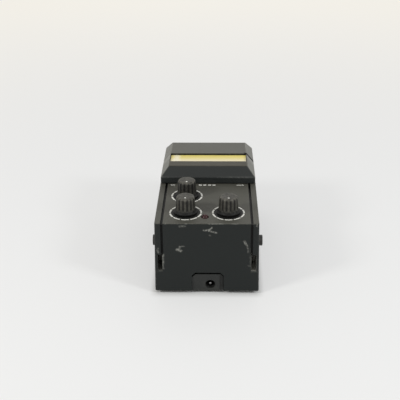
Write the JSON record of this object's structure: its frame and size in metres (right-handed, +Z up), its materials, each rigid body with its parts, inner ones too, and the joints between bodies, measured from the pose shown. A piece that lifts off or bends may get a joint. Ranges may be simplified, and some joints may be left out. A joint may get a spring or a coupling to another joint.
{
  "type": "guitar effects pedal",
  "caption": "Compact guitar effects pedal with a die-cast case, fluted knobs, a status lamp, a sprung foot treadle, side signal jacks and an end power socket.",
  "frame": {"origin": "on the floor under the middle of the pedal's overall box", "axes": "+Z up, +Y towards the toe end of the treadle, -Y towards the power socket, +X towards the input jack"},
  "size_m": [0.0792, 0.128, 0.0671],
  "materials": {
    "shell_paint": "worn satin dark grey paint on die-cast metal",
    "cap_paint": "worn satin dark grey paint on die-cast metal",
    "yellow_strip": "satin yellow inlay",
    "black_plastic": "moulded, satin",
    "rubber": "matt",
    "plated_steel": "bright plated",
    "dull_steel": "dull plated sheet",
    "red_lens": "clear red, unlit",
    "board_green": "solder mask",
    "battery_wrap": "bare wrap, no label"
  },
  "bodies": {
    "shell": {"amplifier_chip": "black_plastic", "battery": "battery_wrap", "battery_snap": "black_plastic", "bottom_plate": "dull_steel", "capacitor_1": "black_plastic", "capacitor_2": "black_plastic", "capacitor_3": "black_plastic", "circuit_board": "board_green", "dc_jack_body": "black_plastic", "dc_pin": "plated_steel", "dc_plate": "black_plastic", "foot_left_front": "rubber", "foot_left_rear": "rubber", "foot_right_front": "rubber", "foot_right_rear": "rubber", "hinge_pin": "plated_steel", "hood": "cap_paint", "hood_screw_left": "plated_steel", "hood_screw_right": "plated_steel", "housing": "shell_paint", "input_jack_body": "black_plastic", "input_jack_nut": "black_plastic", "input_tip_contact": "plated_steel", "led_lens": "red_lens", "led_spacer": "black_plastic", "output_jack_body": "black_plastic", "output_jack_nut": "black_plastic", "output_tip_contact": "plated_steel", "plate_screw_left_front": "plated_steel", "plate_screw_left_rear": "plated_steel", "plate_screw_right_front": "plated_steel", "plate_screw_right_rear": "plated_steel", "pot_body_left_front": "dull_steel", "pot_body_left_rear": "dull_steel", "pot_body_right_rear": "dull_steel", "pot_nut_left_front": "plated_steel", "pot_nut_left_rear": "plated_steel", "pot_nut_right_rear": "plated_steel", "pot_washer_left_front": "plated_steel", "pot_washer_left_rear": "plated_steel", "pot_washer_right_rear": "plated_steel", "switch_body": "black_plastic", "switch_nut": "plated_steel", "treadle_spring_left": "plated_steel", "treadle_spring_right": "plated_steel", "yellow_strip": "yellow_strip"},
    "treadle": {"treadle": "cap_paint"},
    "plunger": {"switch_plunger": "plated_steel"},
    "control_left_rear": {"knob_left_rear": "black_plastic", "pot_shaft_left_rear": "plated_steel"},
    "control_right_rear": {"knob_right_rear": "black_plastic", "pot_shaft_right_rear": "plated_steel"},
    "control_left_front": {"knob_left_front": "black_plastic", "pot_shaft_left_front": "plated_steel"}
  },
  "joints": [
    {"name": "treadle_hinge", "type": "hinge", "parent": "shell", "child": "treadle", "pos_m": [0, 0.0375, 0.0592], "axis": [-1, 0, 0], "range_deg": [0, 3.2], "stiffness_Nm_per_rad": 1.5, "springref_deg": -2.86, "deforming": ["treadle_spring_left", "treadle_spring_right"]},
    {"name": "plunger_press", "type": "slide", "parent": "shell", "child": "plunger", "axis": [0, 0, -1], "range_m": [0, 0.0008]},
    {"name": "knob_left_rear_turn", "type": "hinge", "parent": "shell", "child": "control_left_rear", "pos_m": [-0.0146, -0.047, 0.0545], "axis": [0, 0, 1], "range_deg": [-150, 150]},
    {"name": "knob_right_rear_turn", "type": "hinge", "parent": "shell", "child": "control_right_rear", "pos_m": [0.0146, -0.047, 0.0545], "axis": [0, 0, 1], "range_deg": [-150, 150]},
    {"name": "knob_left_front_turn", "type": "hinge", "parent": "shell", "child": "control_left_front", "pos_m": [-0.0146, -0.021, 0.0545], "axis": [0, 0, 1], "range_deg": [-150, 150]}
  ],
  "couplings": [
    {"joint": "plunger_press", "follows": "treadle_hinge", "m_per_rad": 0.0125}
  ]
}
